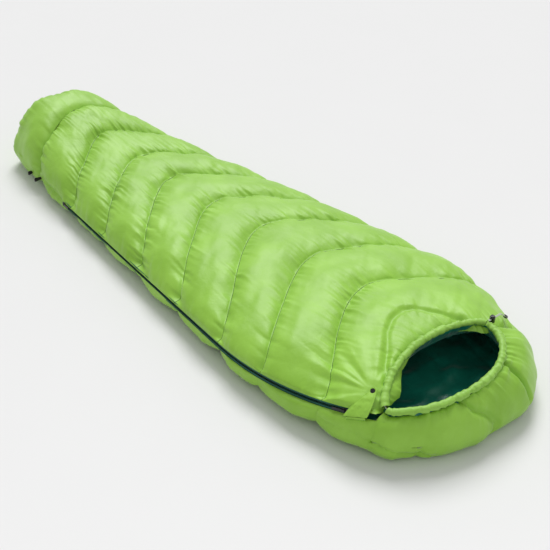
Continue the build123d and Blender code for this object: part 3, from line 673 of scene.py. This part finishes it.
hood_rim = rim[: rim_left + 1]
hood_out = rim_out[: rim_left + 1]
xs = np.linspace(.905, 1.0795, 120)
left, right, *_ = rows_at(xs)
outline = np.concatenate([
    np.stack([xs, right], -1),
    np.stack([np.full(40, 1.0795), np.linspace(right[-1], -left[-1], 42)[1:-1]], -1),
    np.stack([xs[::-1], -left[::-1]], -1),
])
for _ in range(60):
    outline[1:-1] = .5 * outline[1:-1] + .25 * (outline[:-2] + outline[2:])
arc = arc_of(outline)
HC = 330
phi = np.linspace(0, 1, HC)
O = np.stack([np.interp(phi * arc[-1], arc, outline[:, j]) for j in range(2)], -1)
idx = phi * (len(hood_rim) - 1)
start = hood_rim + hood_out * .006
R = np.stack([np.interp(idx, np.arange(len(hood_rim)), start[:, j]) for j in range(2)], -1)
HW = arc_of(.5 * (O + R))
belly_o = rows_at(O[:, 0])[3]
out_dir = np.stack([O[:, 0] - .86, O[:, 1]], -1)
out_dir /= np.linalg.norm(out_dir, axis=1, keepdims=True)
HR = 46
parts = []
for i in range(HR + 1):
    s = math.sin(i / HR * math.pi / 2)
    xy = R + (O - R) * s
    th = top_height(np.minimum(xy[:, 0], 1.0795), xy[:, 1])
    z = belly_o + (np.maximum(th, belly_o) - belly_o) * (1 - s ** 7) ** .5
    parts.append(np.concatenate([xy, z[:, None]], 1))
side_end = len(parts)
for i in range(1, 21):
    a = i / 20 * math.pi / 2
    z = belly_o * (1 - math.sin(a) ** .8)
    xy = O - out_dir * .05 * (1 - math.cos(a)) ** .8
    parts.append(np.concatenate([xy, z[:, None]], 1))
under = parts[-1]
target = np.stack([np.full(HC, .905), under[-1, 1] * phi + under[0, 1] * (1 - phi), np.zeros(HC)], -1)
for i in range(1, 9):
    parts.append(under + (target - under) * (i / 8))
P = np.array(parts)
N = normals_of(P, (HR // 3, HC // 2), 1)
row = np.arange(len(P))[:, None]
steps = np.linalg.norm(np.diff(P, axis=0), axis=2)
along_m = np.cumsum(np.concatenate([np.zeros((1, HC)), steps]), axis=0)
rim_fold = folds(HW, 801)[None, :]
D = .0075 * rim_fold * np.exp(-along_m / .030) - .007 * np.exp(-along_m / .010)
HOOD_SEAMS = (
    np.array([(1.001, -.14), (1.043, -.108), (1.084, -.035)]),
    np.array([(.989, .059), (1.020, .075), (1.066, .100)]),
    np.array([(.905, -.362, .070), (.936, -.346, .060), (.987, -.287, .036), (1.03, -.23, .02)]),
)
for number, seam in enumerate(HOOD_SEAMS):
    d, w = near_curve(P, seam)
    D += seam_dip(d, .012, .007) + pucker(w, 820 + number, d, .0060, .028)
D += seam_dip(HW[None, :], .008, .010) + .0045 * folds(along_m, 840) * np.exp(-HW[None, :] / .030)
D += (.0055 * noise2(P[..., 0] / .06, P[..., 1] / .08, 35)
      + .0030 * noise2(P[..., 0] / .028, P[..., 1] / .035, 38))
D *= 1 - smoothstep(row, side_end + 12, side_end + 20)
HOOD = P + N * D[..., None]
HOOD[..., 2] = np.maximum(HOOD[..., 2], GROUND)
hood = grid_mesh("hood_quilt_shell", HOOD, SHELL)
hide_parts("hood_shell", "hood_insulation")

# ---- Channels: two gathered tubes round the rim ----


def channel(name, first, last, seed, node):
    """A gathered tube along the rim, from its first point to its last."""
    i = np.arange(first, last + 1) % RIM_N
    pts = np.concatenate([rim[i], (rim_z[i] + .002)[:, None]], 1)
    w = rim_w[i]
    angle = np.linspace(0, 2 * np.pi, 28, endpoint=False)
    ruffle = .7 * noise1(w / .0060, seed) + .9 * noise1(w / .012, seed + 3) + .6 * noise1(w / .028, seed + 6)
    twist = noise2(w[:, None] / .009, angle[None, :] / 1.1, seed + 9)
    radii = .0106 + .0026 * ruffle[:, None] * (.6 + .4 * np.cos(angle))[None, :] + .0016 * twist
    obj = tube(name, pts, radii, 28, CHANNEL, flat=.86)
    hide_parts(node)
    return obj


channel("hood_rim_channel_fabric", 4, rim_left - 3, 901, "hood_rim_channel")
channel("chest_hem_channel_fabric", rim_left + 3, RIM_N - 4, 931, "chest_hem_channel")

# ---- Lining inside ----

LC, LR = 220, 250
xs = np.linspace(-1.045, 1.045, LR)
an = np.linspace(0, 2 * np.pi, LC, endpoint=False)
X2, A2 = np.meshgrid(xs, an, indexing="ij")
P = form(X2, A2, .035)
ring_folds = noise1(A2 * .35 / .02, 1010) * .5 + noise1(A2 * .35 / .045, 1011) * .7
inward = -np.stack([0 * A2, np.cos(A2), np.sin(A2)], -1)
wander = .02 * noise2(X2 / .09, A2 * .35 / .09, 1019)
lift = .007 * ring_folds * np.exp(-np.abs(X2 - .78) / .07)
lift += .006 * noise2((X2 + wander) / .026, A2 * .35 / .055, 1020)
lift += .010 * noise2((X2 + wander) / .06, (A2 * .35 - wander) / .09, 1021)
lift += .003 * ring_folds * smoothstep(X2, .86, 1.0)
P = P + inward * np.maximum(lift + .002, -.003)[..., None]
P[..., 2] = np.maximum(P[..., 2], .017)
mid = .25 * (P[:-1] + P[1:] + np.roll(P, -1, 1)[:-1] + np.roll(P, -1, 1)[1:])
poly = rim + rim_out * .004


def inside(points):
    """Which plan points lie inside the opening's outline."""
    hit = np.zeros(points.shape[:-1], bool)
    for a, b in zip(poly, np.roll(poly, -1, 0)):
        crosses = (a[1] > points[..., 1]) != (b[1] > points[..., 1])
        x = a[0] + (points[..., 1] - a[1]) * (b[0] - a[0]) / (b[1] - a[1] + 1e-12)
        hit ^= crosses & (points[..., 0] < x)
    return hit


keep = ~(inside(mid) & (mid[..., 2] > .085))
lining = grid_mesh("body_lining_fabric", P, LINING, keep=keep, closed=True)
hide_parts("top_lining", "bottom_lining", "footbox_lining", "hood_lining")

# band of lining from the channel down to the body lining
depth = np.linspace(0, 1, 12)
facing = []
for f in depth:
    xy = rim + rim_out * (-.004 + .012 * f ** 1.5)
    top = rim_z - .004
    low = np.maximum(top_height(np.minimum(xy[:, 0], 1.04), xy[:, 1], .038), .03) - .002
    z = top + (np.minimum(low, top - .018) - top) * f
    pleat = .0025 * folds(rim_w, 1101) * math.sin(math.pi * min(f + .15, 1))
    facing.append(np.concatenate([xy - rim_out * pleat[:, None], z[:, None]], 1))
facing = np.array(facing).transpose(1, 0, 2)
facing = np.concatenate([facing, facing[:1]])
rim_facing = grid_mesh("rim_facing_fabric", facing, LINING)

# ---- Neck baffle: a gathered roll inside, across the neck ----

count = 620
a = np.linspace(np.pi - .30, -.10, count)
base = form(np.full(count, .792), a, .040)
w = arc_of(base)
angle = np.linspace(0, 2 * np.pi, 30, endpoint=False)
r = .0125 + .0028 * folds(w, 1201)[:, None] * (.7 + .3 * np.cos(angle))[None, :]
r += .001 * noise2(w[:, None] / .01, angle[None, :], 1210)
inward = np.stack([0 * a, -np.cos(a), -np.sin(a)], -1)
P = base[:, None] + inward[:, None] * (r * np.cos(angle) * .8)[..., None]
P = P + np.array([1, 0, 0]) * (1.25 * r * np.sin(angle))[..., None]
baffle = grid_mesh("neck_baffle_roll", P, LINING, closed=True)
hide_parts("neck_baffle")

# ---- Draught tube behind the zip ----

s = np.linspace(.022, ZIP_LENGTH - .178, 560)
zp, za, zo, zu = zip_frame(s)
angle = np.linspace(0, 2 * np.pi, 26, endpoint=False)
ripple = 1 + .10 * folds(s, 1301)
P = (zp - zo * .038)[:, None] + zu[:, None] * (.0200 * np.cos(angle))[None, :, None]
P = P + zo[:, None] * (.0058 * np.outer(ripple, np.sin(angle)))[..., None]
draught = grid_mesh("draught_tube_roll", P, LINING, closed=True)
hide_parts("draught_tube")

# ---- Zip: tapes and coils with real teeth ----

COIL_PITCH = .0021
COIL_AWAY = .0022  # from the zip's centreline to the middle of a coil's turns
LOOP_HALF_WIDTH, LOOP_HALF_HEIGHT = .00125, .00105
WIRE_RADIUS = .00032
LOOP_SIDES, WIRE_SIDES = 9, 5

for side, sign in (("top", 1), ("bottom", -1)):
    s = np.linspace(.002, ZIP_LENGTH - .062, 800)
    zp, za, zo, zu = zip_frame(s)
    across_tape = np.array([.0037, .0045, .0060, .0075, .0096])
    ribs = .00035 * np.sin(np.outer(s / .0011, np.ones(5)))
    P = zp[:, None] + zu[:, None] * (sign * across_tape)[None, :, None] + zo[:, None] * ribs[..., None]
    tape = grid_mesh(f"zip_tape_{side}_weave", P, TAPE, thick=.0009)
    tape.modifiers["fabric"].offset = 0
    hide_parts(f"zip_tape_{side}")
    # one coil turn: a flattened loop that leans along the zip
    turns = np.arange(.0088, ZIP_LENGTH - .1006, COIL_PITCH)
    zp, za, zo, zu = zip_frame(turns)
    ring = np.linspace(0, 2 * np.pi, LOOP_SIDES, endpoint=False)
    wire = np.linspace(0, 2 * np.pi, WIRE_SIDES, endpoint=False)
    verts, faces = [], []
    cx = sign * (COIL_AWAY + LOOP_HALF_WIDTH * np.cos(ring))
    for n in range(len(turns)):
        b0 = len(verts)
        lean = .0006 * np.cos(ring)
        centre = zp[n] + zu[n] * cx[:, None] + zo[n] * (LOOP_HALF_HEIGHT * np.sin(ring))[:, None]
        centre = centre + za[n] * lean[:, None]
        radial = zu[n] * np.cos(ring)[:, None] * sign + zo[n] * np.sin(ring)[:, None]
        loop = centre[:, None] + radial[:, None] * (WIRE_RADIUS * np.cos(wire))[None, :, None]
        loop = loop + za[n] * (WIRE_RADIUS * np.sin(wire))[None, :, None]
        verts.extend(loop.reshape(-1, 3).tolist())
        for i in range(LOOP_SIDES):
            here, ahead = b0 + i * WIRE_SIDES, b0 + (i + 1) % LOOP_SIDES * WIRE_SIDES
            for j in range(WIRE_SIDES):
                beside = (j + 1) % WIRE_SIDES
                faces.append((here + j, ahead + j, ahead + beside, here + beside))
    mesh = bpy.data.meshes.new(f"zip_coil_{side}_teeth")
    mesh.from_pydata(verts, [], faces)
    mesh.materials.append(COIL)
    mesh.polygons.foreach_set("use_smooth", [True] * len(mesh.polygons))
    coil = bpy.data.objects.new(mesh.name, mesh)
    scene.collection.objects.link(coil)
    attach(coil, "bag")
    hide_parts(f"zip_coil_{side}")

# ---- Snap tab ----


def on_top(x, y):
    """The point of the form's upper side at a plan place."""
    return np.array([x, y, float(top_height(np.array(x), np.array(y)))])


H1, H2, ST = on_top(.838, -.361), on_top(.888, -.338), on_top(.858, -.284)
tx = (H2 - H1) / np.linalg.norm(H2 - H1)
tn = np.cross(H2 - H1, ST - H1)
tn /= np.linalg.norm(tn)
ty = np.cross(tn, tx)
T0 = H1 + tn * .013
length = np.linalg.norm(H2 - H1)
su, sv = float((ST - T0) @ tx), float((ST - T0) @ ty)
rows, cols = 46, 40
v = np.linspace(0, 1, rows)[:, None]
u = np.linspace(0, 1, cols)[None, :]
tip = .011
straight_v = .82
edge = np.clip((v - straight_v) / (1 - straight_v), 0, 1)
tapered = length / 2 + .0035 + (tip - length / 2 - .0035) * (v / straight_v) ** 1.7
rounded = tip * np.sqrt(np.clip(1 - edge**2, .004, 1))
half_w = np.where(v < straight_v, tapered, rounded)
mid_u = length / 2 + (su - length / 2) * np.clip(v / straight_v, 0, 1)
V = v * (sv + tip)
U = mid_u + (u * 2 - 1) * half_w
puff = .0018 * (1 - np.abs(2 * u - 1) ** 4) * (1 - np.abs(2 * v - 1) ** 6)
stitch = -.0009 * np.exp(-((np.minimum(u, 1 - u) * 2 * half_w - .004) / .0009) ** 2)
wrinkle = .0009 * noise2(U / .012, V / .010, 1401) + .0005 * noise2(U / .005, V / .006, 1402)
arch = .003 * np.sin(np.pi * v)
W = .0004 + puff + stitch + wrinkle + arch
flat_here = 1 - np.exp(-((U - su) ** 2 + (V - sv) ** 2) / .012**2)
W = .0004 + (W - .0004) * flat_here
plan = T0 + tx * U[..., None] + ty * V[..., None]
P = plan + tn * W[..., None]
Q = plan + tn * (W - .0026 + .0012 * np.abs(2 * u - 1) ** 6)[..., None]
tab = grid_mesh("snap_tab_fabric", np.concatenate([P, Q[:, ::-1]], 1), SHELL, "tab", closed=True)
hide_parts("snap_tab")

count = 30
uu = np.linspace(.002, length - .002, count)
prof = np.array([
    (-.0034, -.0136), (-.0030, -.0060), (-.0008, -.0026), (.0004, -.0030), (-.0004, -.0062), (-.0006, -.0136),
])
height = prof[:, 1][None, :] + .0004 * noise1(uu / .006, 1450)[:, None]
P = T0 + tx * uu[:, None, None] + ty * prof[:, 0][None, :, None] + tn * height[..., None]
anchor = grid_mesh("tab_anchor_fabric", P, SHELL, "bag", closed=True)
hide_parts("tab_anchor")

# ---- Foot loops ----

BEND = .0063  # radius of a loop's turn

for number in (1, 2):
    low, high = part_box(f"foot_loop_{number}")
    cx, cy, cz = (low.x + high.x) / 2, low.y + .007, (low.z + high.z) / 2
    t = np.linspace(0, 1, 60)
    straight = high.y + .012 - cy
    total = 2 * straight + math.pi * BEND
    d = t * total
    turn = (d - straight) / BEND
    back_x = np.where(d > total - straight, cx + BEND, cx - BEND * np.cos(turn))
    back_y = np.where(d > total - straight, cy + (d - (total - straight)), cy - BEND * np.sin(turn))
    px = np.where(d < straight, cx - BEND, back_x)
    py = np.where(d < straight, cy + straight - d, back_y)
    pinch = np.where(py > cy, (py - cy) / straight, 0) * .75
    px = cx + (px - cx) * (1 - pinch)
    line = np.stack([px, py, np.full(60, cz) - .003 * np.clip((cy - py) / .007, 0, 1)], -1)
    heights = np.linspace(-.0036, .0036, 9)
    ribs = .00025 * np.cos(np.arange(9) * np.pi)
    out = np.stack([px - cx, py - cy, 0 * px], -1)
    out /= np.maximum(np.linalg.norm(out, axis=1, keepdims=True), 1e-9)
    P = line[:, None] + np.array([0, 0, 1]) * heights[None, :, None] + out[:, None] * ribs[None, :, None]
    loop = grid_mesh(f"foot_loop_{number}_webbing", P, WEBBING, thick=.0012)
    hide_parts(f"foot_loop_{number}")

# ---- Free cord ends ----

for name, x in (("head", .87375), ("foot", .87025)):
    curve = bpy.data.curves.new(f"drawcord_end_{name}", "CURVE")
    curve.dimensions = "3D"
    spline = curve.splines.new("NURBS")
    # the middle points lie in one line, so that the cord stays straight through the lock
    route = [
        (x, .145, .19039), (x, .1853, .19039), (x, .197, .19039), (x, .20596, .18287), (x, .21692, .17368),
    ]
    spline.points.add(len(route) - 1)
    for point, place in zip(spline.points, route):
        point.co = (*place, 1)
    spline.order_u = 3
    spline.use_endpoint_u = True
    spline.resolution_u = 24
    curve.bevel_depth = .0014
    curve.bevel_resolution = 5
    curve.use_fill_caps = True
    curve.materials.append(CORD)
    obj = bpy.data.objects.new(curve.name, curve)
    scene.collection.objects.link(obj)
    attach(obj, "bag")
    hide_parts(f"cord_strand_{name}")

# ---- Materials on the CAD pieces that stay ----


def paint(node, material):
    """Gives a CAD piece one of the materials above."""
    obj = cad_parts[node]
    obj.data.materials.clear()
    obj.data.materials.append(material)


for node in (
    "zip_slider_head", "zip_slider_foot", "zip_pull_head_outer", "zip_pull_head_inner", "zip_pull_foot_outer",
    "snap_stud", "snap_socket",
):
    paint(node, ENAMEL)
for node in ("cord_lock_barrel", "cord_end_bead"):
    paint(node, PLASTIC)
paint("cord_lock_plunger", SMOKE)
paint("cord_lock_spring", STEEL)
for node in ("zip_stop_foot", "zip_stops_head"):
    paint(node, COIL)
paint("hood_drawcord", CORD)

# ---- Floor, light and camera ----

bpy.ops.mesh.primitive_plane_add(size=40, location=(0, 0, 0))
floor = bpy.context.object
floor.name = "floor"
m, n, l, b = new_material("pale_floor", (.86, .86, .86), .9)
vary(n, l, b, (.748, .748, .748), (.752, .752, .752), 3)
floor.data.materials.append(m)

world = bpy.data.worlds.new("studio")
scene.world = world
world.use_nodes = True
world.node_tree.nodes["Background"].inputs[0].default_value = (1, 1, 1, 1)
world.node_tree.nodes["Background"].inputs[1].default_value = .53
scene.view_settings.view_transform = "Standard"


def area(name, place, target, size, power):
    """An area light at a place, turned to a target."""
    light = bpy.data.lights.new(name, "AREA")
    light.size = size
    light.energy = power
    obj = bpy.data.objects.new(name, light)
    scene.collection.objects.link(obj)
    obj.location = place
    obj.rotation_euler = (Vector(target) - Vector(place)).to_track_quat("-Z", "Y").to_euler()


sun = bpy.data.lights.new("key", "SUN")
sun.energy = 2.35
sun.angle = .5
key = bpy.data.objects.new("key", sun)
scene.collection.objects.link(key)
key.rotation_euler = Vector((-2.9, 2.6, 4.8)).to_track_quat("Z", "Y").to_euler()
area("fill", (2.6, -1.5, 2.6), (0, 0, .1), 2.5, 10)

azimuth, elevation, roll = math.radians(47.18), math.radians(32.97), math.radians(1.92)
target = Vector((.209, -.038, .080))
distance = 3.375
back = Vector((
    math.sin(azimuth) * math.cos(elevation),
    -math.cos(azimuth) * math.cos(elevation),
    math.sin(elevation),
))
right_dir = (-back).cross(Vector((0, 0, 1))).normalized()
up_dir = right_dir.cross(-back)
right_2 = right_dir * math.cos(roll) + up_dir * math.sin(roll)
up_2 = -right_dir * math.sin(roll) + up_dir * math.cos(roll)
camera_data = bpy.data.cameras.new("camera")
camera_data.lens = 72.55
camera_data.sensor_width = 36
camera = bpy.data.objects.new("camera", camera_data)
scene.collection.objects.link(camera)
facing_matrix = Matrix((right_2, up_2, back)).transposed().to_4x4()
camera.matrix_world = Matrix.Translation(target + back * distance) @ facing_matrix
scene.camera = camera
